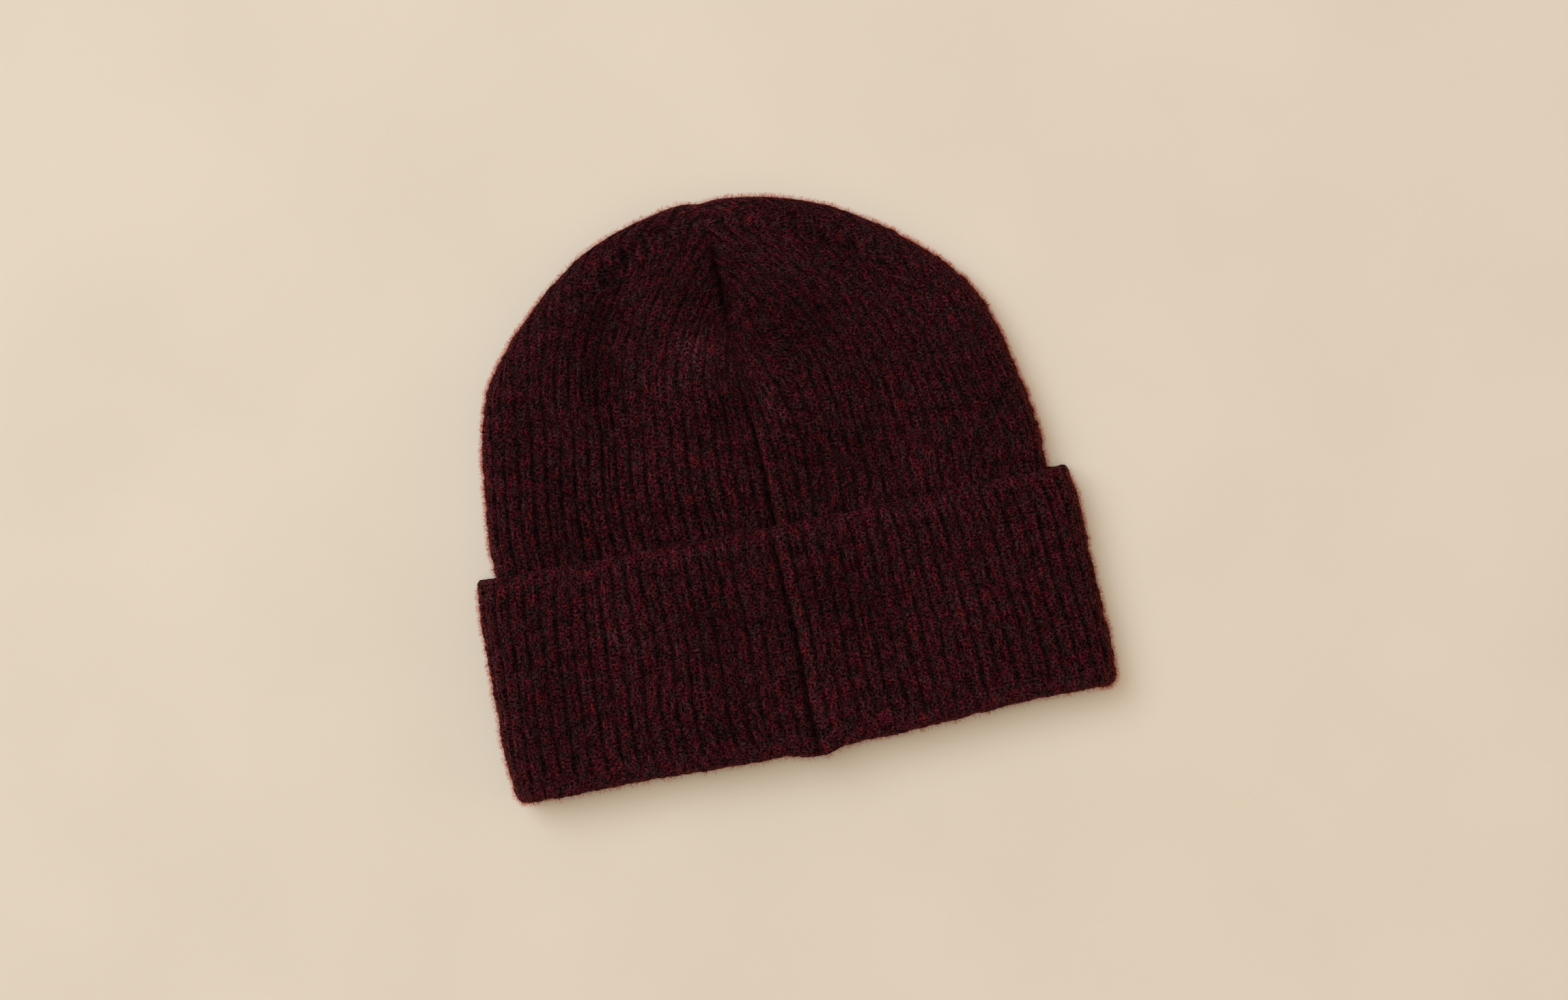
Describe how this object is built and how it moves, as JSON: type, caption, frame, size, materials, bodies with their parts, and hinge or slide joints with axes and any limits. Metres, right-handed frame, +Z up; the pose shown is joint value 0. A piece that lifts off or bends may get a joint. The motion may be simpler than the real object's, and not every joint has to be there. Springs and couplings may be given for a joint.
{
  "type": "beanie",
  "caption": "Rib-knit beanie lying flat, with a deep turned-up cuff, a round crown drawn in by darts and a closing seam up the middle.",
  "frame": {"origin": "centre of the hat's box, on the surface that it lies on", "axes": "+X across the hat, +Y from the fold at the mouth to the tip of the crown, +Z up from the surface, out of the side with the closing seam"},
  "size_m": [0.2222, 0.2044, 0.0268],
  "materials": {
    "crown_knit": "brushed wool rib knit, burgundy, plum and charcoal marl",
    "cuff_knit": "brushed wool rib knit, burgundy, plum and charcoal marl"
  },
  "bodies": {
    "root": {"crown": "crown_knit", "cuff": "cuff_knit"}
  },
  "joints": []
}
